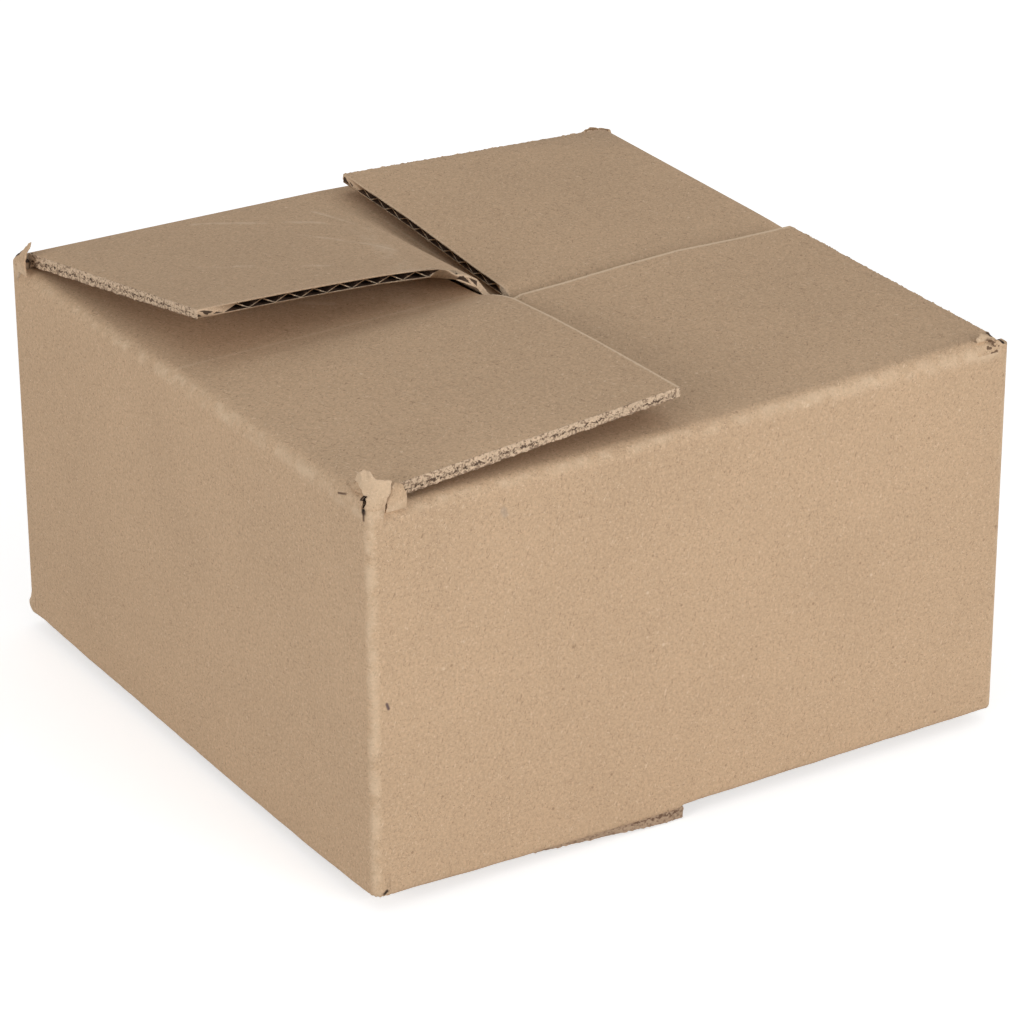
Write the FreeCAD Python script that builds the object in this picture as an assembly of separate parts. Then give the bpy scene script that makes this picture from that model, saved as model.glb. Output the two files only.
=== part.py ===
import FreeCAD, Part
import math
import os

# A square shipping box of single-wall corrugated board, folded from one sheet and closed without tape.
# Its four top flaps lock in a ring, each over the next one and under the one before it, and so do its
# four bottom flaps. The frame is in millimetres with +Z up. The origin is the centre of the box on the
# floor that it stands on. The front wall faces -Y and the left wall faces -X.
# Heights of a flap are those of its outer face above the crease plane that its wall ends in.

V = FreeCAD.Vector

# Sheet
board = 2.9                 # thickness of the corrugated board
liner = 0.42                # thickness of each facing paper
medium = 0.3                # thickness of the wavy paper between the facings
flute_pitch = 6.5           # length of one wave
flute_depth = 16.0          # how far the open waves run into a flap before they are pressed shut
flap_clearance = 0.3        # air between flaps that lie on each other
flap_gap = 3.4              # from a flap's free edge to the box's middle
fold_steps = 4              # flats that the rounding of a fold is made of

# Folded box
box_side = 156.0            # outside width and depth across the walls
wall_height = 85.0          # from the bottom crease plane to the top crease plane
corner_radius = 2.4         # outer rounding of the vertical creases
corner_inner_radius = 0.6
fold_radius = 3.3           # outer rounding of the folds between walls and flaps
crush_bend = 0.25           # where one wave of a flap bends more than this, it is pressed shut
fold_drop = 10.0            # a flap's piece starts this far down its wall
slot_half_width = 3.6       # half of the slot between two flaps
slot_depth = 0.8            # the slots end this far short of the crease plane
floor_gap = 5.0             # the lowest flaps hang this far below the bottom crease plane

# Glued joint inside the back right corner
tab_length = 32.0
tab_margin = 12.0           # from the tab's ends to the crease planes

# Top flaps: height of the fold at the end that lies over a neighbour, and at its middle
left_fold_over = 1.6
left_fold_middle = -0.4
front_fold_over = 1.2
front_fold_middle = -1.0
right_fold_over = 0.9
right_fold_middle = 0.0
back_fold_over = 1.0
back_fold_middle = 0.5

# Top flaps: height of the free edge at the outer corner, where its lift starts, and beside the centre
left_tip = 6.9
left_lift = 4.7
left_centre = 2.6
front_tip = 3.4
front_lift = 1.5
front_centre = 1.2
right_tip = 4.8
right_lift = 1.0
right_centre = 0.4
back_tip = 11.6
back_lift = 8.6
back_centre = 3.8

# Top flaps: distance from the box's middle to where the lift starts
left_lift_start = 12.0
front_lift_start = 14.0
right_lift_start = 14.0
back_lift_start = 15.0

# How much the side of a flap is cut in, from its fold to its outer corner
right_cut_in = 2.4
back_cut_in = 3.7
slight_cut_in = 0.3

# Bottom flaps, measured downwards
bottom_fold_over = 1.0
bottom_fold_middle = 0.3
bottom_tip = 5.3            # presses flat on the floor over its last millimetres
bottom_lift = 3.2
bottom_centre = 2.4
bottom_lift_start = 14.0
back_bottom_tip = 3.7

# The free edge of a flap bows out between its lift and its outer corner
edge_bow = 0.5
back_bottom_bow = 1.8

# Worked out from the sizes above
half = box_side / 2
flap_half_width = half - slot_half_width
reach = half - flap_gap
step = board + flap_clearance
covered_start = 1.0 - flap_gap  # beside the middle, a flap is fully covered from here on
bottom_crease = floor_gap
top_crease = bottom_crease + wall_height


class Flap:
    """Heights of one flap. over is the flap that lies on this one, once it is known."""

    def __init__(self, fold_over, fold_middle, tip, lift, centre, lift_start, cut_in, bow):
        self.fold_over = fold_over
        self.fold_middle = fold_middle
        self.tip = tip
        self.lift = lift
        self.centre = centre
        self.lift_start = lift_start
        self.cut_in = cut_in
        self.bow = bow
        self.over = None

    def fold_height(self, w):
        """Height of the fold at w along the wall, straight from its middle to either end."""
        end = self.fold_over if w > 0 else self.over.fold_over - step
        return self.fold_middle + (end - self.fold_middle) * abs(w) / flap_half_width

    def free_edge(self):
        """Knots of the free edge's height along the wall."""
        covered_corner = self.over.fold_middle - step
        covered_centre = self.over.centre - step
        middle = (self.lift_start + flap_half_width) / 2
        bowed = (self.lift + self.tip) / 2 + self.bow
        return [(-flap_half_width, covered_corner), (covered_start, covered_centre),
                (flap_gap, self.centre), (self.lift_start, self.lift),
                (middle, bowed), (flap_half_width, self.tip)]


def through(knots, w):
    """Height at w on a smooth line through the knots that never overshoots them."""
    spans = [b[0] - a[0] for a, b in zip(knots, knots[1:])]
    slopes = [(b[1] - a[1]) / s for a, b, s in zip(knots, knots[1:], spans)]
    tangents = [slopes[0]]
    for before, after in zip(slopes, slopes[1:]):
        same_way = before * after > 0
        tangents.append(2 * before * after / (before + after) if same_way else 0.0)
    tangents.append(slopes[-1])
    i = 0
    while i < len(spans) - 1 and w > knots[i + 1][0]:
        i += 1
    t = (w - knots[i][0]) / spans[i]
    rise = knots[i + 1][1] - knots[i][1]
    start, end = tangents[i] * spans[i], tangents[i + 1] * spans[i]
    return knots[i][1] + t * start + t * t * (3 * rise - 2 * start - end) + t ** 3 * (start + end - 2 * rise)


class Section:
    """Cross-section of a flap at w along its wall: up the wall, round the fold, straight to the edge."""

    def __init__(self, flap, w):
        self.w = w
        self.centre_z = flap.fold_height(w) - fold_radius
        run = reach - fold_radius
        rise = through(flap.free_edge(), w) - self.centre_z
        self.slope = math.atan2(rise, run) - math.asin(fold_radius / math.hypot(run, rise))
        self.along = (math.cos(self.slope), math.sin(self.slope))
        self.out = (-self.along[1], self.along[0])
        self.tip = (reach, self.centre_z + rise)
        self.lean = flap.cut_in / (reach - board) * max(w, 0.0) / flap_half_width

    def point(self, u, z):
        """A point u in from the outer face of the left wall, on the section's upright plane."""
        return V(-half + u, -(self.w - self.lean * (u - board)), z)

    def edge_point(self, depth):
        """A point of the free edge, depth under its outer face."""
        return self.point(self.tip[0], self.tip[1] - depth / math.cos(self.slope))

    def fold(self, radius):
        """Points round the fold, from the wall to the flap."""
        points = []
        for i in range(fold_steps + 1):
            angle = math.pi + (self.slope - math.pi / 2) * i / fold_steps
            points.append(self.point(fold_radius + radius * math.cos(angle),
                                     self.centre_z + radius * math.sin(angle)))
        return points

    def wire(self):
        outer, inner = self.fold(fold_radius), self.fold(fold_radius - board)
        corners = [self.point(0, -fold_drop)] + outer + [self.edge_point(0), self.edge_point(board)]
        corners += inner[::-1] + [self.point(board, -fold_drop)]
        return Part.makePolygon(corners + corners[:1])


def stations(flap):
    """Where the cross-sections of a flap stand, closer together beside the box's middle."""
    inner = [covered_start - 5, covered_start, 0.5, flap_gap, flap.lift_start * 0.6, flap.lift_start]
    far = flap_half_width
    covered = [-far, -far * 0.75, -far * 0.5, -far * 0.25]
    lifted = [flap.lift_start + (far - flap.lift_start) * s for s in (0.25, 0.5, 0.75, 1.0)]
    return covered + inner + lifted


def cell(flap, left, right, base, apex):
    """One open wave of the board, as its mouth in the free edge and the faces of its channel."""
    sections = [Section(flap, w) for w in (left, (left + right) / 2, right)]
    mouth = [sections[0].edge_point(base), sections[1].edge_point(apex), sections[2].edge_point(base)]
    inward = V(-sections[1].along[0], 0, -sections[1].along[1]) * flute_depth
    end = [corner + inward for corner in mouth]
    faces = [Part.Face(Part.makePolygon(end + end[:1]))]
    for i in range(3):
        k = (i + 1) % 3
        faces.append(Part.Face(Part.makePolygon([mouth[i], mouth[k], end[k], end[i], mouth[i]])))
    return Part.makePolygon(mouth + mouth[:1]), faces


def is_crushed(flap, left, right):
    """True where the flap bends so sharply beside the box's middle that its waves are pressed shut."""
    heights = [through(flap.free_edge(), w) for w in (left, (left + right) / 2, right)]
    return abs(heights[0] - 2 * heights[1] + heights[2]) > crush_bend


def flutes(flap):
    """The open waves along a flap's free edge, in turns against the inner and the outer facing."""
    height = board - 2 * liner
    wall_across = medium * math.hypot(height, flute_pitch / 2) / height
    base = flute_pitch - wall_across
    depth = base / flute_pitch * height
    count = int((2 * (flap_half_width - flap.cut_in) - board) / flute_pitch)
    cells = []
    for i in range(2 * count - 1):
        middle = (i - count + 1) * flute_pitch / 2
        left, right = middle - base / 2, middle + base / 2
        if is_crushed(flap, left, right):
            continue
        if i % 2:
            cells.append(cell(flap, left, right, liner, liner + depth))
        else:
            cells.append(cell(flap, left, right, board - liner, board - liner - depth))
    return cells


def flap_piece(flap):
    """A flap with its fold and the top of its wall, hinged on the left wall at z = 0."""
    sections = [Section(flap, w) for w in stations(flap)]
    plain = Part.makeLoft([section.wire() for section in sections], True, True)
    edge_x = -half + reach
    skin = [f for f in plain.Faces if f.BoundBox.XMin < edge_x - 0.01]
    outline = [s.edge_point(0) for s in sections] + [s.edge_point(board) for s in reversed(sections)]
    cells = flutes(flap)
    mouths = [mouth for mouth, faces in cells]
    rim = Part.makePolygon(outline + outline[:1])
    skin += Part.makeFace([rim] + mouths, "Part::FaceMakerBullseye").Faces
    for mouth, faces in cells:
        skin += faces
    shell = Part.makeShell(skin)
    shell.sewShape()
    return Part.makeSolid(shell)


def ring_of_flaps(flaps):
    """Left, front, right and back flaps: each lies over the next and under the one before."""
    for i, flap in enumerate(flaps):
        flap.over = flaps[i - 1]
    pieces = []
    for i, flap in enumerate(flaps):
        piece = flap_piece(flap)
        piece.rotate(V(0, 0, 0), V(0, 0, 1), 90 * i)
        pieces.append(piece)
    return pieces


def top_flaps():
    pieces = ring_of_flaps([
        Flap(left_fold_over, left_fold_middle, left_tip, left_lift, left_centre,
             left_lift_start, slight_cut_in, edge_bow),
        Flap(front_fold_over, front_fold_middle, front_tip, front_lift, front_centre,
             front_lift_start, slight_cut_in, edge_bow),
        Flap(right_fold_over, right_fold_middle, right_tip, right_lift, right_centre,
             right_lift_start, right_cut_in, edge_bow),
        Flap(back_fold_over, back_fold_middle, back_tip, back_lift, back_centre,
             back_lift_start, back_cut_in, edge_bow)])
    for piece in pieces:
        piece.translate(V(0, 0, top_crease))
    return pieces


def bottom_flap(tip, bow):
    return Flap(bottom_fold_over, bottom_fold_middle, tip, bottom_lift, bottom_centre,
                bottom_lift_start, slight_cut_in, bow)


def bottom_flaps():
    """The bottom's ring, turned over and pressed flat where it bears on the floor."""
    ring = ring_of_flaps([bottom_flap(bottom_tip, 0.0), bottom_flap(bottom_tip, 0.0),
                          bottom_flap(bottom_tip, 0.0), bottom_flap(back_bottom_tip, back_bottom_bow)])
    under_floor = Part.makeBox(2 * box_side, 2 * box_side, 20.0, V(-box_side, -box_side, -20.0))
    pieces = []
    for piece in ring:
        turned = piece.mirror(V(0, 0, 0), V(0, 0, 1))
        turned.translate(V(0, 0, bottom_crease))
        pieces.append(turned.cut(under_floor))
    return pieces


def rounded_block(side, radius, low, high):
    block = Part.makeBox(side, side, high - low, V(-side / 2, -side / 2, low))
    upright = [e for e in block.Edges if abs(e.tangentAt(e.FirstParameter).z) > 0.9]
    return block.makeFillet(radius, upright)


def walls():
    """The four walls, full height at the corners and lower where the flaps' pieces start."""
    low, high = bottom_crease + slot_depth, top_crease - slot_depth
    shell = rounded_block(box_side, corner_radius, low, high)
    shell = shell.cut(rounded_block(box_side - 2 * board, corner_inner_radius, low, high))
    width = 2 * flap_half_width
    for base, height in ((low, fold_drop - slot_depth), (top_crease - fold_drop, fold_drop - slot_depth)):
        shell = shell.cut(Part.makeBox(box_side, width, height, V(-half, -flap_half_width, base)))
        shell = shell.cut(Part.makeBox(width, box_side, height, V(-flap_half_width, -half, base)))
    return shell


def joint_tab():
    """The end of the sheet, folded in at the back right corner and glued to the right wall."""
    low = bottom_crease + tab_margin
    high = top_crease - tab_margin
    return Part.makeBox(board, tab_length, high - low, V(half - 2 * board, half - board - tab_length, low))


def folded_carton():
    pieces = top_flaps() + bottom_flaps() + [joint_tab()]
    return walls().fuse(pieces).removeSplitter()


def main():
    os.makedirs("parts", exist_ok=True)
    carton = folded_carton()
    solid = carton.Solids[0]
    print("solids", len(carton.Solids), "valid", carton.isValid(), "volume", round(carton.Volume))
    solid.exportStep("parts/folded_carton.step")


main()
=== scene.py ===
import math

import bpy
from mathutils import Matrix, Vector, noise
from mathutils.bvhtree import BVHTree


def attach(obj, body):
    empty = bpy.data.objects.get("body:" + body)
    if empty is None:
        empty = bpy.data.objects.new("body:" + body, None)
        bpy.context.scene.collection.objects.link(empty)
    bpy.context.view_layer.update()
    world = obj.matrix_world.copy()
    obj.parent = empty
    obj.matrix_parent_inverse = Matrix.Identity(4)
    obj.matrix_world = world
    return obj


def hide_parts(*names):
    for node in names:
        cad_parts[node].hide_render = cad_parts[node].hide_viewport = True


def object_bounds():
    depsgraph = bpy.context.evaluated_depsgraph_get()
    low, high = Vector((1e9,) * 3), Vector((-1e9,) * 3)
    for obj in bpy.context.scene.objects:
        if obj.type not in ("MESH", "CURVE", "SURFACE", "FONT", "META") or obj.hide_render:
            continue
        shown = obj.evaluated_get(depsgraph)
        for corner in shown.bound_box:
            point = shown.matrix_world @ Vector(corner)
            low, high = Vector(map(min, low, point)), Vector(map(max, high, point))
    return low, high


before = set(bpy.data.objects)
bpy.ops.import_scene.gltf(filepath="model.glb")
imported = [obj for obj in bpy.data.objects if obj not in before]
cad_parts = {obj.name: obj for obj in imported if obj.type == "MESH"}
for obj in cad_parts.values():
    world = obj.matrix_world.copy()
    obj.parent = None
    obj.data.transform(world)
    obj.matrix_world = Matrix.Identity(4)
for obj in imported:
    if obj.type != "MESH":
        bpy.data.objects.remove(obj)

cad_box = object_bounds()


# The camera stands to the left of the front wall, just under a metre away,
# and looks down on the carton by about 25 degrees through a long lens.
turn, dip, tilt = math.radians(-31.99), math.radians(25.04), math.radians(-0.2)
back = Vector((math.sin(turn) * math.cos(dip), -math.cos(turn) * math.cos(dip), math.sin(dip)))
level = Vector((0, 0, 1)).cross(back).normalized()
rise = back.cross(level)
right = level * math.cos(tilt) + rise * math.sin(tilt)
up = rise * math.cos(tilt) - level * math.sin(tilt)
camera_data = bpy.data.cameras.new("camera")
camera_data.sensor_width = 36
camera_data.lens = 149
camera = bpy.data.objects.new("camera", camera_data)
bpy.context.collection.objects.link(camera)
stand = back * 0.9445 + right * 0.0027 + up * 0.031 + Vector((0, 0, 0.005))
camera.matrix_world = Matrix.Translation(stand) @ Matrix((right, up, back)).transposed().to_4x4()
bpy.context.scene.camera = camera
bpy.context.scene.view_settings.view_transform = "Standard"


# The folded sheet: one blank of corrugated board, scored and folded into four walls and
# eight flaps, with the open waves showing on the free edges. All that is above top_flaps or
# below bottom_flaps is flap, and the free edges stop short of the middle by free_edge.
half_width, half_way = 0.078, 0.0475
board, flute_pitch = 0.0029, 0.0065
top_flaps, bottom_flaps = 0.0805, 0.0145
free_edge, past_middle = 0.0034, 0.0033
side_from, side_to, flush_to = 0.0690, 0.0748, 0.0777
squarely = 0.95

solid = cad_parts["folded_carton"]
carton = bpy.data.objects.new("carton_sheet", solid.data.copy())
bpy.context.collection.objects.link(carton)
bpy.ops.object.select_all(action="DESELECT")
carton.select_set(True)
bpy.context.view_layer.objects.active = carton
bpy.ops.object.mode_set(mode="EDIT")
bpy.ops.mesh.select_all(action="SELECT")
bpy.ops.mesh.remove_doubles(threshold=0.000002)
bpy.ops.object.mode_set(mode="OBJECT")


def ease(value, low, high):
    """0 at low and 1 at high, with a soft start and end."""
    share = min(1.0, max(0.0, (value - low) / (high - low)))
    return share * share * (3 - 2 * share)


def flap_on_top(x, y):
    """Which flap is uppermost here, from the left one round, and the place as seen from it."""
    for turns, (u, v) in enumerate(((x, y), (y, -x), (-x, -y), (-y, x))):
        if u <= -past_middle and v <= past_middle:
            return turns, u, v
    return None, x, y


def side_face(face):
    """True for the cut side of a flap, which leans in slightly towards its free corner."""
    x, y, z = (abs(v) for v in face.center)
    flap = z > top_flaps or z < bottom_flaps
    across_x = abs(face.normal.x) > squarely and side_from < x < side_to
    across_y = abs(face.normal.y) > squarely and side_from < y < side_to
    flush = face.normal.y < -squarely and -flush_to < face.center.y < -side_from and z < bottom_flaps
    return flush or flap and (across_x or across_y)


def free_face(face):
    """True for the free edge of a flap, beside the middle of the carton."""
    return any(abs(face.normal[axis]) > squarely and abs(abs(face.center[axis]) - free_edge) < 0.0002
               for axis in (0, 1))


# Use has pressed the top flaps thinner than fresh board, the front one from above at its far
# corner. Each point's depth below the top of its flap is found from above, and for a point on
# a cut face a little further in, where the flap's top is sure to be met.
pressed_share, cut_face_inset, side_inset = 0.30, 0.0005, 0.0006
least_depth, most_depth, sagging = -0.0004, 0.00305, 0.0005
skin = BVHTree.FromPolygons([v.co.copy() for v in carton.data.vertices],
                            [tuple(f.vertices) for f in carton.data.polygons])
depths = {}
for point in carton.data.vertices:
    x, y, z = point.co
    turns, u, v = flap_on_top(x, y)
    if z < half_way or turns is None:
        continue
    u_in = u - cut_face_inset if u > -0.0044 else u
    v_in = v + side_inset if v < -0.0685 else v
    x_in, y_in = ((u_in, v_in), (-v_in, u_in), (-u_in, -v_in), (v_in, -u_in))[turns]
    hit = skin.ray_cast(Vector((x_in, y_in, 0.12)), Vector((0, 0, -1)))[0]
    depth = hit.z - z if hit else 1.0
    if least_depth < depth < most_depth:
        depths[point.index] = (depth, turns, ease(u + half_width, 0.005, 0.012))
ply = carton.data.attributes.new("ply", "FLOAT", "POINT")
for point in carton.data.vertices:
    x, y, z = point.co
    far_corner = ease(x, 0.035, 0.070) * ease(y, -0.074, -0.045)
    if point.index in depths:
        depth, turns, amount = depths[point.index]
        ply.data[point.index].value = 1 - max(0.0, min(1.0, depth / board))
        from_above = far_corner if turns == 1 else 0.0
        point.co.z += pressed_share * amount * (depth - board * from_above)
    if z > top_flaps:
        point.co.z -= sagging * far_corner * ease(y, 0.014, -0.010)
# The side of the left bottom flap is pushed out flush with the front wall, but for its ends.
side_start, side_end, flush_y = -0.0735, -0.0030, -0.0775
lifted, upper_side_drop, lower_liner = 0.0003, 0.0008, 0.0033
low_side = set()
for face in carton.data.polygons:
    if side_face(face) and face.normal.y < -squarely and face.center.z < bottom_flaps:
        low_side.update(i for i in face.vertices
                        if side_start < carton.data.vertices[i].co.x < side_end)
for index in low_side:
    point = carton.data.vertices[index]
    above = skin.ray_cast(point.co + Vector((0, 0.0004, 0.0004)), Vector((0, 0, 1)))[0]
    inner = above is None or above.z - point.co.z > lower_liner
    point.co.z += lifted + 0.0001 * ease(-point.co.x, free_edge, 0.030)
    point.co.z -= upper_side_drop if inner else 0.0
    point.co.y = flush_y
carton.data.update()
bpy.ops.object.shade_smooth_by_angle(angle=math.radians(32))
evened = carton.modifiers.new("evened", "WEIGHTED_NORMAL")
evened.mode = "FACE_AREA"
evened.keep_sharp = True
bpy.ops.object.modifier_apply(modifier=evened.name)


# Kraft paper: brown recycled pulp in two liners and a waved sheet between them.
# Its colour is cloudy, with long fibres, cream flecks and dark specks pressed in.
def linear(red, green, blue):
    """A colour given as 0 to 255, in the linear values that a shader takes."""
    parts = [c / 255 for c in (red, green, blue)]
    return [p / 12.92 if p < 0.04045 else ((p + 0.055) / 1.055) ** 2.4 for p in parts] + [1]


def group(name, inputs, outputs):
    """An empty node group with its sockets, and its two end nodes."""
    tree = bpy.data.node_groups.new(name, "ShaderNodeTree")
    for label, kind, value in inputs:
        socket = tree.interface.new_socket(label, in_out="INPUT", socket_type=kind)
        socket.default_value = value
    for label, kind in outputs:
        tree.interface.new_socket(label, in_out="OUTPUT", socket_type=kind)
    return tree, tree.nodes.new("NodeGroupInput"), tree.nodes.new("NodeGroupOutput")


def put(tree, socket, value):
    """Sets a socket to a value, or links it where that is another node's output."""
    if isinstance(value, bpy.types.NodeSocket):
        tree.links.new(value, socket)
    else:
        socket.default_value = value


def add(tree, kind, **sockets):
    """A node whose inputs are set by name, from a value or another node's output."""
    node = tree.nodes.new(kind)
    for label, value in sockets.items():
        put(tree, node.inputs[label.replace("_", " ")], value)
    return node


def maths(tree, operation, first, second=0.0, third=0.0):
    """The result of a Math node."""
    node = tree.nodes.new("ShaderNodeMath")
    node.operation = operation
    for socket, value in zip(node.inputs, (first, second, third)):
        put(tree, socket, value)
    return node.outputs[0]


def plus(tree, first, second):
    return maths(tree, "ADD", first, second)


def minus(tree, first, second):
    return maths(tree, "SUBTRACT", first, second)


def times(tree, first, second):
    return maths(tree, "MULTIPLY", first, second)


def larger(tree, first, second):
    return maths(tree, "MAXIMUM", first, second)


def unsigned(tree, value):
    return maths(tree, "ABSOLUTE", value)


def scaled(tree, value, factor, start):
    """The value times factor, counted from start."""
    return maths(tree, "MULTIPLY_ADD", value, factor, start)


def step(tree, value, low, high):
    """0 below low and 1 above high, with a soft change between them."""
    node = add(tree, "ShaderNodeMapRange", Value=value, From_Min=low, From_Max=high)
    node.interpolation_type = "SMOOTHSTEP"
    return node.outputs["Result"]


def blend(tree, amount, first, second, kind="MIX"):
    """The first colour, turned into the second by amount."""
    node = tree.nodes.new("ShaderNodeMix")
    node.data_type = "RGBA"
    node.blend_type = kind
    for place, value in ((0, amount), (6, first), (7, second)):
        put(tree, node.inputs[place], value)
    return node.outputs[2]


def clouds(tree, where, scale, detail=2.0, rough=0.5, turned=None, stretch=None):
    """Soft noise about 0.5, which can be drawn out along a turned axis."""
    if turned is not None:
        mapping = add(tree, "ShaderNodeMapping", Vector=where, Rotation=turned, Scale=stretch)
        mapping.vector_type = "TEXTURE"
        where = mapping.outputs[0]
    node = add(tree, "ShaderNodeTexNoise", Vector=where, Scale=scale, Detail=detail, Roughness=rough)
    return node.outputs["Fac"]


def fibre_group():
    """Masks of one sheet of kraft paper: cloudiness, light and dark fibres, flecks and specks."""
    tree, start, end = group(
        "kraft_fibres", [("Where", "NodeSocketVector", (0, 0, 0))],
        [(n, "NodeSocketFloat") for n in ("Cloud", "Grain", "Light", "Dark", "Tooth")])
    where = start.outputs["Where"]
    wide = clouds(tree, where, 28, 3)
    small = clouds(tree, where, 330, 3, 0.6)
    tree.links.new(plus(tree, times(tree, wide, 0.6), times(tree, small, 0.4)), end.inputs["Cloud"])
    tree.links.new(clouds(tree, where, 1500, 3, 0.65), end.inputs["Grain"])
    light, dark = 0.0, 0.0
    lays = ((0.3, 0.2, 0.5), (1.2, 0.9, 2.1), (2.2, 1.6, 0.9), (0.7, 2.3, 1.4))
    for turned in lays:
        threads = clouds(tree, where, 3400, 1, 0.4, turned, (1, 1, 7))
        light = larger(tree, light, step(tree, threads, 0.68, 0.78))
        dark = larger(tree, dark, step(tree, threads, 0.33, 0.23))
    for scale, rarity, size, pale in (
            (230, 0.86, 0.11, True), (420, 0.93, 0.17, False), (150, 0.95, 0.06, False)):
        cells = add(tree, "ShaderNodeTexVoronoi", Vector=where, Scale=scale)
        chance = add(tree, "ShaderNodeSeparateColor", Color=cells.outputs["Color"])
        chosen = maths(tree, "GREATER_THAN", chance.outputs[0], rarity)
        spot = times(tree, chosen, step(tree, cells.outputs["Distance"], size, size * 0.5))
        if pale:
            light = larger(tree, light, spot)
        else:
            dark = larger(tree, dark, spot)
    tree.links.new(light, end.inputs["Light"])
    tree.links.new(dark, end.inputs["Dark"])
    tree.links.new(clouds(tree, where, 900, 4, 0.7), end.inputs["Tooth"])
    return tree


def flute_group():
    """The waves under the liner, as a faint washboard: they run up the walls and across the
    fold into each flap. Seen from above each quarter of the carton shows one flap."""
    tree, start, end = group("flute_lines", [("Where", "NodeSocketVector", (0, 0, 0)),
                                             ("Facing", "NodeSocketVector", (0, 0, 1))],
                             [("Wave", "NodeSocketFloat")])
    place = add(tree, "ShaderNodeSeparateXYZ", Vector=start.outputs["Where"])
    facing = add(tree, "ShaderNodeSeparateXYZ", Vector=start.outputs["Facing"])
    x, y = place.outputs[0], place.outputs[1]
    side_wall = maths(tree, "GREATER_THAN", unsigned(tree, facing.outputs[0]), 0.6)
    flat = maths(tree, "GREATER_THAN", unsigned(tree, facing.outputs[2]), 0.5)
    quarter = maths(tree, "GREATER_THAN", times(tree, x, y), 0.0)
    along_y = larger(tree, times(tree, flat, quarter), times(tree, side_wall, minus(tree, 1.0, flat)))
    across = plus(tree, times(tree, along_y, y), times(tree, minus(tree, 1.0, along_y), x))
    wave = maths(tree, "SINE", times(tree, across, 2 * math.pi / flute_pitch))
    tree.links.new(wave, end.inputs["Wave"])
    return tree


def scar_group():
    """A line on the board from one point to another, such as a crease or a tear."""
    tree, start, end = group(
        "scar", [("Where", "NodeSocketVector", (0, 0, 0)), ("From", "NodeSocketVector", (0, 0, 0)),
                 ("To", "NodeSocketVector", (0, 0, 0)), ("Width", "NodeSocketFloat", 0.001)],
        [("Mask", "NodeSocketFloat")])

    def vector(operation, first, second=None, scale=None):
        node = tree.nodes.new("ShaderNodeVectorMath")
        node.operation = operation
        tree.links.new(first, node.inputs[0])
        if second is not None:
            tree.links.new(second, node.inputs[1])
        if scale is not None:
            tree.links.new(scale, node.inputs["Scale"])
        return node

    here, begin = start.outputs["Where"], start.outputs["From"]
    run = vector("SUBTRACT", start.outputs["To"], begin).outputs[0]
    away = vector("SUBTRACT", here, begin).outputs[0]
    share = maths(tree, "DIVIDE", vector("DOT_PRODUCT", away, run).outputs["Value"],
                  vector("DOT_PRODUCT", run, run).outputs["Value"])
    share = add(tree, "ShaderNodeClamp", Value=share).outputs[0]
    near = vector("SCALE", run, scale=share).outputs[0]
    distance = vector("DISTANCE", away, near).outputs["Value"]
    ratio = maths(tree, "DIVIDE", distance, start.outputs["Width"])
    tree.links.new(step(tree, ratio, 1.0, 0.15), end.inputs["Mask"])
    return tree


fibres, flutes, scar = fibre_group(), flute_group(), scar_group()


def paper(name, colour, light, dark, bump=1.0):
    """A paper material that other layers are added to: its tree, colour, height and place."""
    material = bpy.data.materials.new(name)
    material.use_nodes = True
    tree = material.node_tree
    shader = tree.nodes["Principled BSDF"]
    shader.inputs["Roughness"].default_value = 0.86
    shader.inputs["Specular IOR Level"].default_value = 0.25
    where = tree.nodes.new("ShaderNodeTexCoord").outputs["Object"]
    masks = tree.nodes.new("ShaderNodeGroup")
    masks.node_tree = fibres
    tree.links.new(where, masks.inputs["Where"])
    shade = scaled(tree, masks.outputs["Cloud"], 0.30, 0.85)
    grain = scaled(tree, masks.outputs["Grain"], 0.72, 0.64)
    shade = times(tree, shade, grain)
    value = tree.nodes.new("ShaderNodeCombineColor")
    for place in range(3):
        tree.links.new(shade, value.inputs[place])
    tint = blend(tree, 1.0, colour, value.outputs[0], "MULTIPLY")
    tint = blend(tree, times(tree, masks.outputs["Light"], 0.6), tint, light)
    tint = blend(tree, times(tree, masks.outputs["Dark"], 0.5), tint, dark)
    height = times(tree, masks.outputs["Tooth"], 0.00006 * bump)
    return material, tree, shader, where, tint, height


def finish_paper(tree, shader, tint, height):
    """The finished colour and height, given to the paper's shader."""
    relief = add(tree, "ShaderNodeBump", Height=height, Strength=0.6, Distance=1.0)
    tree.links.new(relief.outputs[0], shader.inputs["Normal"])
    tree.links.new(tint, shader.inputs["Base Color"])


def line_mask(tree, where, begin, end, width):
    """The mask of one line on the board."""
    node = tree.nodes.new("ShaderNodeGroup")
    node.node_tree = scar
    tree.links.new(where, node.inputs["Where"])
    node.inputs["From"].default_value = begin
    node.inputs["To"].default_value = end
    node.inputs["Width"].default_value = width
    return node.outputs["Mask"]


kraft, cut = linear(195, 165, 134), linear(206, 180, 152)
cream, umber = linear(226, 202, 172), linear(120, 92, 66)
outer, tree, shader, where, tint, height = paper("outer_liner", kraft, cream, umber)
facing = tree.nodes.new("ShaderNodeNewGeometry").outputs["Normal"]
washboard = tree.nodes.new("ShaderNodeGroup")
washboard.node_tree = flutes
tree.links.new(where, washboard.inputs["Where"])
tree.links.new(facing, washboard.inputs["Facing"])
wave_height = 0.000005
height = plus(tree, height, times(tree, washboard.outputs["Wave"], wave_height))
place = add(tree, "ShaderNodeSeparateXYZ", Vector=where)
side_x = unsigned(tree, place.outputs[0])
side_y = unsigned(tree, place.outputs[1])
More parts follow.
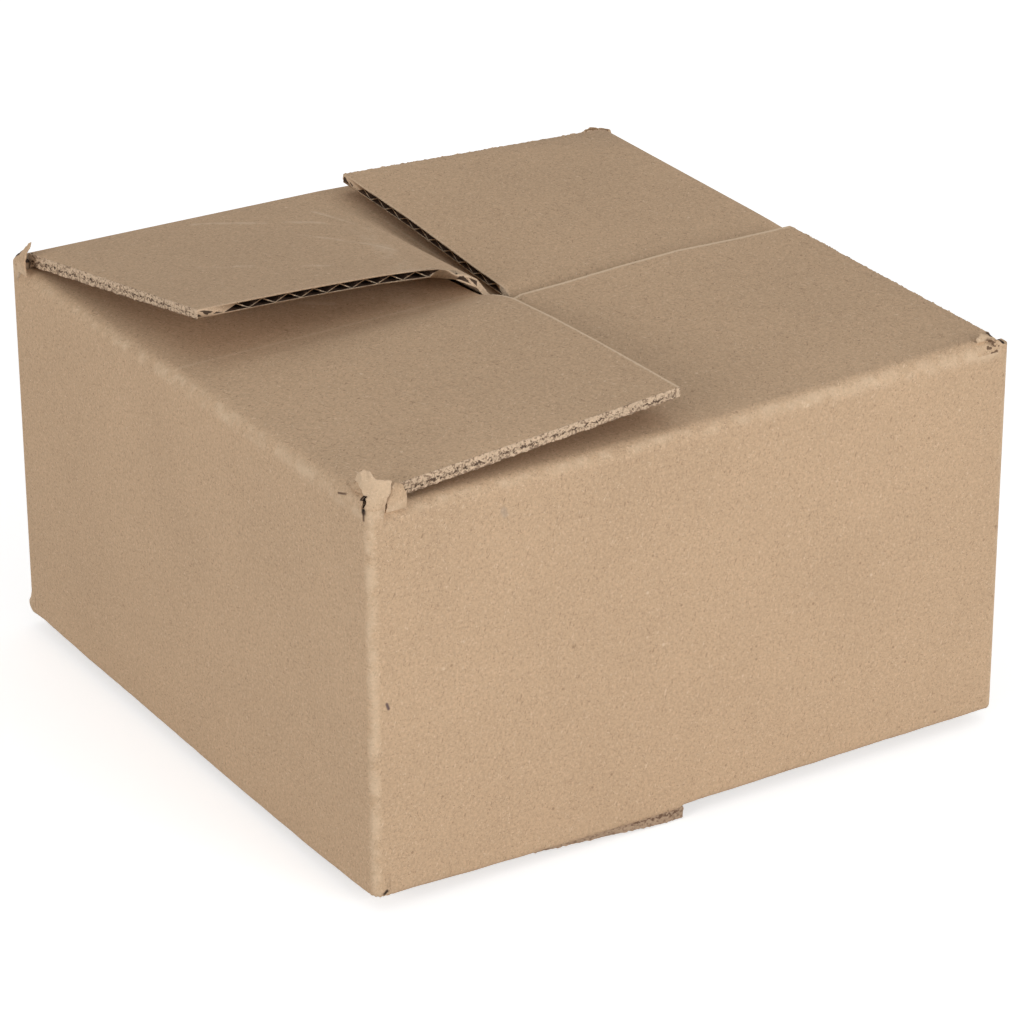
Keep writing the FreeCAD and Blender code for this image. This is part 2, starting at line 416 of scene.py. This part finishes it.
# The corners and the top fold are pale in patches, partly rubbed and partly a painted highlight on the
# rounded edges, and the slots' floors are painted dark as shade.
pale_patches = clouds(tree, where, 220, 3, 0.6)
upright_fold = times(tree, step(tree, side_x, 0.0755, 0.0772), step(tree, side_y, 0.0755, 0.0772))
upright_fold = times(tree, upright_fold, step(tree, pale_patches, 0.3, 0.62))
fold_height = 0.0885
off_fold = unsigned(tree, minus(tree, place.outputs[2], fold_height))
top_fold = times(tree, step(tree, larger(tree, side_x, side_y), 0.0758, 0.077),
                 step(tree, off_fold, 0.0026, 0.0004))
wear_and_highlight = larger(tree, upright_fold, times(tree, top_fold, step(tree, pale_patches, 0.35, 0.7)))
# Painted highlight and wear: the vertical corners and the top fold are blended towards cream.
tint = blend(tree, times(tree, wear_and_highlight, 0.4), tint, cream)
near_corner = times(tree, step(tree, side_x, 0.0738, 0.0741), step(tree, side_y, 0.0738, 0.0741))
slot_shade = times(tree, near_corner, step(tree, place.outputs[2], 0.0888, 0.0890))
bend_middle = 0.0756
from_x = larger(tree, minus(tree, side_x, bend_middle), 0.0)
from_y = larger(tree, minus(tree, side_y, bend_middle), 0.0)
from_bend = plus(tree, times(tree, from_x, from_x), times(tree, from_y, from_y))
slot_shade = times(tree, slot_shade, step(tree, from_bend, 0.0019 ** 2, 0.0017 ** 2))
towards_back = plus(tree, place.outputs[0], place.outputs[1])
slot_shade = times(tree, slot_shade, step(tree, towards_back, 0.12, 0.10))
# Painted shade: the floors of the corner slots, all but the back one, are coloured dark brown.
tint = blend(tree, slot_shade, tint, linear(52, 36, 26))
# A thin pale line is painted along each free edge of the flaps as a highlight, stronger towards the
# front.
upright = add(tree, "ShaderNodeSeparateXYZ", Vector=facing)
level_top = step(tree, unsigned(tree, upright.outputs[2]), 0.8, 0.95)
quarter = maths(tree, "GREATER_THAN", times(tree, place.outputs[0], place.outputs[1]), 0.0)
to_edge = plus(tree, times(tree, quarter, side_x), times(tree, minus(tree, 1.0, quarter), side_y))
ragged = scaled(tree, clouds(tree, where, 700, 3, 0.7), 0.0009, -0.00045)
reach = scaled(tree, quarter, -0.00025, 0.0041)
rim_highlight = step(tree, minus(tree, plus(tree, to_edge, ragged), reach), 0.0002, -0.0001)
rim_highlight = times(tree, rim_highlight, times(tree, level_top, step(tree, to_edge, 0.0032, 0.0033)))
towards_front = step(tree, place.outputs[1], 0.0, -0.004)
rim_highlight = times(tree, rim_highlight, scaled(tree, towards_front, 0.5, 0.2))
below_flap = step(tree, place.outputs[2], 0.0940, 0.0930)
under_flap = times(tree, below_flap, step(tree, side_y, 0.052, 0.056))
rim_highlight = times(tree, rim_highlight, minus(tree, 1.0, under_flap))
tint = blend(tree, rim_highlight, tint, cream)
# Handling has left a slit beside the front corner, nicks in the walls and one faint scuff.
# A mark whose colour adds up to faint_from or more stands up, and a darker one is cut in.
faint_from = 300
# The first three marks are painted shade: the slit beside the front corner and a small hole at the front
# corner's foot, dark as the shade inside them.
for begin, end, width, amount, colour in (
        ((-0.0779, -0.0762, 0.0886), (-0.0779, -0.0762, 0.0906), 0.0009, 1.0, (22, 14, 10)),
        ((-0.0779, -0.0762, 0.0870), (-0.0779, -0.0762, 0.0886), 0.0004, 0.8, (70, 48, 34)),
        ((-0.0757, -0.0779, 0.0045), (-0.0752, -0.0780, 0.0050), 0.0006, 1.0, (44, 30, 22)),
        ((0.0769, -0.0780, 0.0050), (0.0768, -0.0780, 0.0078), 0.0003, 0.6, (110, 84, 64)),
        ((-0.0779, -0.0664, 0.0890), (-0.0777, -0.0690, 0.0898), 0.00035, 0.9, (84, 58, 44)),
        ((-0.0745, -0.0780, 0.0470), (-0.0741, -0.0780, 0.0459), 0.0005, 0.9, (92, 74, 78)),
        ((-0.0474, -0.0780, 0.0822), (-0.0470, -0.0780, 0.0812), 0.0012, 0.35, (150, 140, 130))):
    mark = line_mask(tree, where, begin, end, width)
    tint = blend(tree, times(tree, mark, amount), tint, linear(*colour))
    depth = 0.00012 * amount if sum(colour) >= faint_from else -0.0004
    height = plus(tree, height, times(tree, mark, depth))
# Soft creases across the back flap, as faint pale lines and one wide soft band: painted highlights where
# the bent board catches the light.
plan = add(tree, "ShaderNodeCombineXYZ", X=place.outputs[0], Y=place.outputs[1])
for begin, end, width, amount in (
        ((-0.0360, 0.0700, 0), (-0.0085, 0.0475, 0), 0.0016, 0.5),
        ((-0.0104, 0.0618, 0), (-0.0073, 0.0475, 0), 0.0010, 0.4),
        ((-0.0073, 0.0475, 0), (-0.0200, 0.0034, 0), 0.0040, 0.25),
        ((-0.0530, 0.0356, 0), (-0.0313, 0.0175, 0), 0.0016, 0.5),
        ((-0.0228, 0.0456, 0), (-0.0120, 0.0230, 0), 0.0012, 0.35)):
    mark = line_mask(tree, plan.outputs[0], begin, end, width)
    mark = times(tree, mark, step(tree, clouds(tree, where, 170, 3, 0.6), 0.40, 0.62))
    mark = times(tree, mark, times(tree, level_top, step(tree, place.outputs[2], 0.088, 0.090)))
    tint = blend(tree, times(tree, mark, amount), tint, linear(224, 200, 172))
finish_paper(tree, shader, tint, height)

raw, tree, shader, where, tint, height = paper("cut_edge", cut, cream, umber, 2.0)
finish_paper(tree, shader, tint, height)
# Painted shade: the insides of the open waves are coloured dark brown, as the shade deep in the pockets.
waves, tree, shader, where, tint, height = paper("pocket_shade_paper", linear(66, 46, 33), umber, umber)
finish_paper(tree, shader, tint, height)
# Where the waves are pressed shut their mouths still show as narrow slits, painted dark as the shade
# inside them.
shut, tree, shader, where, tint, height = paper("shut_waves", cut, cream, umber, 2.0)
place = add(tree, "ShaderNodeSeparateXYZ", Vector=where)
layer = tree.nodes.new("ShaderNodeAttribute")
layer.attribute_name = "ply"
along = times(tree, plus(tree, place.outputs[0], place.outputs[1]), 1 / flute_pitch)
zigzag = times(tree, maths(tree, "PINGPONG", along, 0.5), 2.0)
wobble = scaled(tree, clouds(tree, where, 900, 2, 0.6), 0.5, -0.25)
apart = unsigned(tree, plus(tree, minus(tree, layer.outputs["Fac"], zigzag), wobble))
between_liners = times(tree, step(tree, layer.outputs["Fac"], 0.16, 0.24),
                       step(tree, layer.outputs["Fac"], 0.84, 0.76))
slit_shade = times(tree, step(tree, apart, 0.16, 0.24), between_liners)
outwards = larger(tree, unsigned(tree, place.outputs[0]), unsigned(tree, place.outputs[1]))
slit_shade = times(tree, slit_shade, step(tree, outwards, 0.0742, 0.0725))
tint = blend(tree, times(tree, slit_shade, 0.92), tint, linear(50, 34, 25))
finish_paper(tree, shader, tint, height)

carton.data.materials.clear()
for paper_kind in (outer, raw, waves, shut):
    carton.data.materials.append(paper_kind)
# The pockets of the open waves meet the rest of the sheet at the free edges only, so each is
# a small island of faces. A free edge far from any mouth has its waves pressed shut.
largest_pocket, mouth_reach = 60, 0.0034
touching = {}
for face in carton.data.polygons:
    face.material_index = 1 if side_face(face) or free_face(face) else 0
    if not free_face(face):
        for key in face.edge_keys:
            touching.setdefault(key, []).append(face.index)
left_over = set(i for faces in touching.values() for i in faces)
mouths = []
while left_over:
    growing, island = [left_over.pop()], []
    while growing:
        index = growing.pop()
        island.append(index)
        for key in carton.data.polygons[index].edge_keys:
            for other in touching[key]:
                if other in left_over:
                    left_over.discard(other)
                    growing.append(other)
    if len(island) < largest_pocket:
        for index in island:
            carton.data.polygons[index].material_index = 2
            for corner_index in carton.data.polygons[index].vertices:
                mouth = carton.data.vertices[corner_index].co
                if min(abs(abs(mouth.x) - free_edge), abs(abs(mouth.y) - free_edge)) < 0.0001:
                    mouths.append(mouth.copy())
for face in carton.data.polygons:
    if free_face(face) and face.center.z > half_way:
        if min((mouth - face.center).length for mouth in mouths) > mouth_reach:
            face.material_index = 3
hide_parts("folded_carton")
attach(carton, "root")


# Side edges of the flaps: the board is cut along its waves here, so the two liners show as
# light, frayed lines with the crushed waved sheet between them. Each strip is the cut face,
# divided finely, raised a little and roughened.
strip_end, cut_every, raised, cuts_each_way = 0.0742, 0.003, 0.0002, 25
ply = carton.data.attributes["ply"]
for face in carton.data.polygons:
    if side_face(face):
        along = 0 if abs(face.normal.y) > squarely else 1
        for index in face.vertices:
            point, facing_out = carton.data.vertices[index].co, carton.data.vertices[index].normal
            slope = facing_out.z * (1 if point.z > half_way else -1)
            if abs(point[along]) > 0.07:
                slope += facing_out[along] * (1 if point[along] > 0 else -1)
            ply.data[index].value = 1.0 if slope > 0 else 0.0
bpy.ops.object.mode_set(mode="EDIT")
bpy.ops.mesh.select_mode(type="FACE")
bpy.ops.mesh.select_all(action="DESELECT")
bpy.ops.object.mode_set(mode="OBJECT")
for face in carton.data.polygons:
    from_middle = abs(face.center.x if abs(face.normal.y) > squarely else face.center.y)
    face.select = side_face(face) and from_middle < strip_end
bpy.ops.object.mode_set(mode="EDIT")
bpy.ops.mesh.duplicate()
bpy.ops.mesh.separate(type="SELECTED")
bpy.ops.object.mode_set(mode="OBJECT")
strips = [o for o in bpy.context.selected_objects if o is not carton][0]
strips.name = "frayed_side_edges"
bpy.ops.object.select_all(action="DESELECT")
strips.select_set(True)
bpy.context.view_layer.objects.active = strips
bpy.ops.object.mode_set(mode="EDIT")
for number in range(-cuts_each_way, cuts_each_way + 1):
    for normal in ((1, 0, 0), (0, 1, 0)):
        bpy.ops.mesh.select_all(action="SELECT")
        bpy.ops.mesh.bisect(plane_co=Vector(normal) * number * cut_every, plane_no=normal)
bpy.ops.mesh.select_all(action="SELECT")
bpy.ops.mesh.extrude_region_shrink_fatten(TRANSFORM_OT_shrink_fatten={"value": raised})
strips.vertex_groups.new(name="outside")
bpy.ops.object.vertex_group_assign()
bpy.ops.object.mode_set(mode="OBJECT")


def apply(obj, kind, **settings):
    """A modifier with these settings, applied at once."""
    modifier = obj.modifiers.new(kind.lower(), kind)
    for label, value in settings.items():
        setattr(modifier, label, value)
    bpy.context.view_layer.objects.active = obj
    bpy.ops.object.modifier_apply(modifier=modifier.name)


def rough_texture(name, size):
    """Lumps of about this size, for a Displace modifier."""
    texture = bpy.data.textures.new(name, "CLOUDS")
    texture.noise_scale = size
    texture.noise_depth = 2
    texture.noise_basis = "ORIGINAL_PERLIN"
    return texture


apply(strips, "SUBSURF", subdivision_type="SIMPLE", levels=3, render_levels=3)
lumps, fuzz = rough_texture("lumps", 0.0016), rough_texture("fuzz", 0.0005)
apply(strips, "DISPLACE", texture=lumps, texture_coords="OBJECT", vertex_group="outside",
      strength=0.0006, mid_level=0.5)
apply(strips, "DISPLACE", texture=fuzz, texture_coords="OBJECT", vertex_group="outside",
      strength=0.0008, mid_level=0.5)


def keep_inside(obj, margin):
    """Keeps a piece this far inside the walls, and between the floor and the highest flap."""
    furthest = half_width - margin
    for point in obj.data.vertices:
        across = [min(furthest, max(-furthest, v)) for v in point.co[:2]]
        point.co = across + [min(cad_box[1][2], max(cad_box[0][2], point.co.z))]


keep_inside(strips, 0.00005)
bpy.ops.object.shade_smooth()

torn, tree, shader, where, tint, height = paper("torn_edge", linear(208, 182, 154), cream, umber, 2.0)
layer = tree.nodes.new("ShaderNodeAttribute")
layer.attribute_name = "ply"
wobble = clouds(tree, where, 1100, 2, 0.6)
level_in = plus(tree, layer.outputs["Fac"], scaled(tree, wobble, 1.0, -0.5))
between = times(tree, step(tree, level_in, 0.24, 0.32), step(tree, level_in, 0.52, 0.44))
inner_edge_shade = step(tree, level_in, 0.12, 0.04)
pits = step(tree, clouds(tree, where, 1700, 2, 0.5), 0.47, 0.41)
dashes = step(tree, clouds(tree, where, 1000, 2, 0.5), 0.46, 0.54)
place = add(tree, "ShaderNodeSeparateXYZ", Vector=where)
below = step(tree, place.outputs[2], 0.02, 0.015)
tint = blend(tree, times(tree, pits, 0.6), tint, linear(90, 63, 46))
to_free = maths(tree, "MINIMUM", unsigned(tree, place.outputs[0]), unsigned(tree, place.outputs[1]))
between = times(tree, between, step(tree, to_free, 0.0040, 0.0050))
# Painted shade: dark dashes in the gaps of the crushed waved sheet between the liners, and along the
# strip's edge at the inner liner.
gap_shade = times(tree, between, scaled(tree, dashes, 0.7, 0.2))
inner_edge_shade = times(tree, inner_edge_shade, scaled(tree, dashes, 0.5, 0.1))
tint = blend(tree, gap_shade, tint, linear(66, 45, 33))
tint = blend(tree, inner_edge_shade, tint, linear(84, 58, 43))
# Painted shade: strips near the floor are darkened, as they stand in shadow.
tint = blend(tree, times(tree, below, 0.5), tint, linear(126, 98, 78))
finish_paper(tree, shader, tint, height)
strips.data.materials.clear()
strips.data.materials.append(torn)
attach(strips, "root")


# Round corners of the walls: the sheet bends by about its own thickness there, and wider
# above the top fold, where nothing holds it. The loose paper at the corners follows this bend.
wall_bend, wider_bend, widens_from, widens_over = 0.0024, 0.0046, 0.0895, 0.0030


def round_corner(distance, height, out, corner):
    """A point by its way round a corner, from the edge: minus to one wall, plus to the next."""
    bend = wall_bend + wider_bend * min(1.0, max(0.0, (height - widens_from) / widens_over))
    middle = half_width - bend
    half = bend * math.pi / 4
    if abs(distance) < half:
        angle = math.radians(225) + distance / bend
        x = -middle + (bend + out) * math.cos(angle)
        y = -middle + (bend + out) * math.sin(angle)
    elif distance > 0:
        x, y = -middle + distance - half, -half_width - out
    else:
        x, y = -half_width - out, -middle - distance - half
    return Matrix.Rotation(corner * math.pi / 2, 3, "Z") @ Vector((x, y, height))


# Pressed bottom creases: the carton's weight has crushed the fold at the foot of each wall, so
# the outer liner runs straight down to a tight edge there. One thin skirt goes all round.
# The lines give the foot's height along a wall, and turn_in how it tucks under, all in mm.
wall_middle, skirt_depth = 77.485, 0.02
front_line = ((-78, 3.6), (-63, 3.3), (-55, 2.95), (-38, 2.7), (-29, 2.55), (-20, 2.45), (-10, 2.35),
              (-3.9, 2.4), (-3.3, 3.0), (1, 3.1), (24, 3.2), (47, 3.3), (78, 3.4))
other_line = ((-78, 2.9), (-71, 3.4), (-49, 2.9), (-28, 2.9), (-8, 2.7), (12, 2.5), (31, 2.5),
              (50, 2.6), (68, 3.1), (78, 3.6))
turn_in = ((8.0, 0), (6.0, 0), (4.2, 0), (3.2, 0), (2.4, 0), (1.7, 0), (1.2, 0.03), (0.8, 0.1),
           (0.45, 0.28), (0.2, 0.5), (0.05, 0.8), (0, 1.1), (0.05, 1.8), (0.2, 2.8))


def foot_height(corner, distance):
    """How high the foot of the wall stands at this way round a corner."""
    wall = corner if distance > 0 else (corner + 3) % 4
    line = front_line if wall == 0 else other_line
    along = abs(distance) * 1000 - wall_middle
    along = along if distance > 0 else -along
    for (t0, z0), (t1, z1) in zip(line, line[1:]):
        if along <= t1:
            return z0 + (z1 - z0) * max(0.0, along - t0) / (t1 - t0)
    return line[-1][1]


liner = 0.0008
fine, wide, corner_part = 0.00025, 0.0012, 0.006
steps = [i * fine for i in range(24)] + [corner_part + i * wide for i in range(60)] + [0.0775]
ways = [-d for d in reversed(steps[1:])] + steps
skirt_points, skirt_faces = [], []
for corner in range(4):
    for distance in ways:
        jagged = 0.32 * ease(abs(distance), 0.006, 0.002) if corner == 0 else 0.06
        low = foot_height(corner, distance)
        low += jagged * noise.noise(Vector((distance * 1500, corner * 9.1, 0.3)))
        low += 0.10 * noise.noise(Vector((distance * 160, corner * 5.7, 4.2)))
        for above, inward in turn_in:
            height = low + above
            bulge = 0.0
            if corner == 3:
                bulge = 0.9 * ease(abs(distance), 0.0045, 0.0) * ease(abs(height - 5.6), 2.6, 0.0)
            out = (bulge - inward - skirt_depth) / 1000
            skirt_points.append(round_corner(distance, height / 1000, out, corner))
columns, rows = len(ways) * 4, len(turn_in)
for column in range(columns):
    for row in range(rows - 1):
        first, second = column * rows + row, (column + 1) % columns * rows + row
        skirt_faces.append((first, first + 1, second + 1, second))
sheet = bpy.data.meshes.new("pressed_creases")
sheet.from_pydata(skirt_points, [], skirt_faces)
skirt = bpy.data.objects.new("pressed_creases", sheet)
bpy.context.collection.objects.link(skirt)
bpy.ops.object.select_all(action="DESELECT")
skirt.select_set(True)
bpy.context.view_layer.objects.active = skirt
if sheet.polygons[0].normal.dot(sheet.polygons[0].center) < 0:
    sheet.flip_normals()
apply(skirt, "SOLIDIFY", thickness=liner, offset=-1.0)
bpy.ops.object.shade_smooth_by_angle(angle=math.radians(50))
keep_inside(skirt, 0.00001)
sheet.materials.append(outer)
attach(skirt, "root")


# Torn corners: where four creases meet, the slot between two flaps leaves scraps of the
# outer liner standing at the corner, curled and crumpled. Each is cut as a flat sheet,
# thickened, creased, and laid round the rounded corner of the walls. Its foot follows the
# sheet, which is looked for from look_from outside, and stands out where the sheet turns in.
half_thick, laid_in, scrap_foot = 0.00022, 0.00024, 0.0893
look_from, deepest, stands_out, fully_out = 0.002, 0.0024, 0.0001, 0.0003


def torn_scrap(name, outline, corner, curl, crumple, kind):
    """A scrap by its outline in mm, as way round the corner and height; its top curls in by curl."""
    sheet = bpy.data.curves.new(name, "CURVE")
    sheet.dimensions = "2D"
    sheet.fill_mode = "BOTH"
    sheet.extrude = half_thick
    cut_line = sheet.splines.new("POLY")
    cut_line.points.add(len(outline) - 1)
    for point, (s, z) in zip(cut_line.points, outline):
        point.co = (s / 1000, z / 1000, 0, 1)
    cut_line.use_cyclic_u = True
    scrap = bpy.data.objects.new(name, sheet)
    bpy.context.collection.objects.link(scrap)
    bpy.ops.object.select_all(action="DESELECT")
    scrap.select_set(True)
    bpy.context.view_layer.objects.active = scrap
    bpy.ops.object.convert(target="MESH")
    scrap = bpy.context.object
    bpy.ops.object.mode_set(mode="EDIT")
    bpy.ops.mesh.select_all(action="SELECT")
    bpy.ops.mesh.remove_doubles(threshold=0.00001)
    bpy.ops.mesh.normals_make_consistent(inside=False)
    bpy.ops.object.mode_set(mode="OBJECT")
    apply(scrap, "REMESH", mode="VOXEL", voxel_size=0.00015)
    top = max(z for s, z in outline) / 1000
    for point in scrap.data.vertices:
        s, z, out = point.co
        grown = max(0.0, (z - scrap_foot) / (top - scrap_foot))
        seed = Vector((s * 420, z * 420, corner * 7.3))
        out = out - laid_in - curl / 1000 * grown ** 2 - crumple / 1000 * abs(noise.noise(seed)) * grown
        s += 0.0004 * noise.noise(seed * 2.3)
        z += 0.0003 * noise.noise(seed * 3.1) * grown
        outside = round_corner(s, z, look_from, corner)
        inward = (round_corner(s, z, 0.0, corner) - outside).normalized()
        sunk = (skin.ray_cast(outside, inward)[3] or 1.0) - look_from
        if sunk < deepest:
            proud = stands_out * min(1.0, max(0.0, sunk) / fully_out)
            out = point.co.z - laid_in - sunk + proud
        point.co = round_corner(s, z, out, corner)
    bpy.ops.object.shade_smooth()
    keep_inside(scrap, 0.00003)
    scrap.data.materials.append(kind)
    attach(scrap, "root")


scrap_paper, tree, shader, where, tint, height = paper("scrap_liner", kraft, cream, umber, 2.0)
place = add(tree, "ShaderNodeSeparateXYZ", Vector=where)
paler = plus(tree, place.outputs[2], times(tree, clouds(tree, where, 300, 2), 0.003))
paler = step(tree, paler, 0.0895, 0.0935)
tint = blend(tree, times(tree, paler, 0.35), tint, cream)
# Painted shade: the first of these specks is the dark hole behind the tab at the right corner cap, and
# dark flecks lie beside it.
specks = line_mask(tree, where, (0.0722, -0.0775, 0.0910), (0.0730, -0.0775, 0.0906), 0.0012)
flecks = step(tree, clouds(tree, where, 900, 2, 0.5), 0.45, 0.40)
beside = line_mask(tree, where, (0.0730, -0.0780, 0.0900), (0.0755, -0.0780, 0.0880), 0.0022)
specks = larger(tree, specks, times(tree, flecks, step(tree, beside, 0.0, 0.3)))
tint = blend(tree, times(tree, specks, 0.85), tint, linear(84, 60, 44))
finish_paper(tree, shader, tint, height)

torn_scrap("front_corner_crown", [
    (3.4, 87.4), (-0.5, 86.6), (-0.8, 88.4), (-1.0, 91.0), (-1.7, 91.8), (-2.9, 93.0), (-4.2, 94.0),
    (-3.7, 95.3), (-2.4, 96.2), (-0.7, 96.4), (0.2, 95.6), (0.7, 95.0), (2.7, 94.6), (4.2, 94.5),
    (4.0, 92.8), (3.4, 90.6)], 0, 0.6, 0.7, scrap_paper)
torn_scrap("front_corner_lip", [
    (-7.0, 87.8), (-1.9, 87.4), (-1.9, 89.4), (-1.8, 91.0), (-2.2, 92.0), (-3.4, 92.6), (-7.0, 92.8)],
    0, 2.4, 0.2, outer)
torn_scrap("front_corner_fold", [
    (3.7, 88.0), (8.2, 88.0), (8.2, 90.0), (7.8, 91.6), (7.0, 92.8), (5.6, 93.2), (4.7, 92.8),
    (4.2, 91.8), (3.75, 90.2)], 0, 1.4, 1.2, outer)
torn_scrap("right_corner_cap", [
    (-8.4, 87.8), (1.2, 87.4), (0.8, 88.8), (-0.6, 89.3), (-1.6, 89.8), (-2.6, 91.0), (-3.6, 91.8),
    (-5.2, 92.2), (-6.6, 91.8), (-8.2, 90.6)], 1, 1.8, 1.0, scrap_paper)
torn_scrap("back_corner_stub", [
    (-4.5, 88.2), (6.8, 88.2), (6.6, 89.2), (5.0, 90.1), (3.8, 90.7), (2.2, 90.6), (1.0, 90.1),
    (-0.6, 90.3), (-2.2, 90.4), (-4.2, 89.5)], 2, 0.5, 0.4, outer)
torn_scrap("left_corner_point", [
    (-1.5, 87.8), (7.4, 87.8), (7.2, 89.6), (6.2, 91.2), (5.6, 92.6), (5.9, 93.8), (5.4, 95.2),
    (3.8, 93.8), (2.0, 92.2), (0.4, 90.8), (-1.5, 89.8)], 3, 2.0, 0.3, outer)


# Studio: a wide pale sweep under the carton and soft lamps. The front lamp is the strongest
# and hangs low, so that the front wall is the lightest side and the top the darkest.
def seen_ray(tree):
    """1 where the camera sees the surface, straight or by way of gloss or glass."""
    ray = tree.nodes.new("ShaderNodeLightPath").outputs
    gloss_or_glass = larger(tree, ray["Is Glossy Ray"], ray["Is Transmission Ray"])
    return larger(tree, ray["Is Camera Ray"], gloss_or_glass)


bpy.ops.object.select_all(action="DESELECT")
bpy.ops.mesh.primitive_plane_add(size=8, location=(0, 0, 0))
floor = bpy.context.object
floor.name = "floor"
pale = bpy.data.materials.new("pale_floor")
pale.use_nodes = True
tree = pale.node_tree
shader = tree.nodes["Principled BSDF"]
shader.inputs["Roughness"].default_value = 0.9
seen = seen_ray(tree)
tree.links.new(blend(tree, seen, (0.62, 0.62, 0.62, 1), (0.8, 0.8, 0.8, 1)), shader.inputs["Base Color"])
tree.links.new(times(tree, seen, 0.55), shader.inputs["Emission Strength"])
floor.data.materials.append(pale)

world = bpy.data.worlds.new("studio")
bpy.context.scene.world = world
world.use_nodes = True
tree = world.node_tree
surroundings = tree.nodes["Background"]
surroundings.inputs["Color"].default_value = (1, 1, 1, 1)
seen = seen_ray(tree)
tree.links.new(scaled(tree, seen, 0.55, 0.45), surroundings.inputs["Strength"])


def lamp(name, place, target, size, power):
    """A round soft lamp that points at the target."""
    light = bpy.data.lights.new(name, "AREA")
    light.shape = "DISK"
    light.size = size
    light.energy = power
    holder = bpy.data.objects.new(name, light)
    bpy.context.collection.objects.link(holder)
    direction = Vector(target) - Vector(place)
    holder.location = place
    holder.rotation_euler = direction.to_track_quat("-Z", "Y").to_euler()


lamp("front_lamp", (0.5, -1.6, 0.5), (0, 0, 0.05), 0.9, 14)
lamp("left_lamp", (-1.7, -0.5, 0.5), (0, 0, 0.05), 0.9, 11.5)
lamp("top_lamp", (0.2, 0.5, 1.8), (0, 0, 0.05), 1.2, 2)
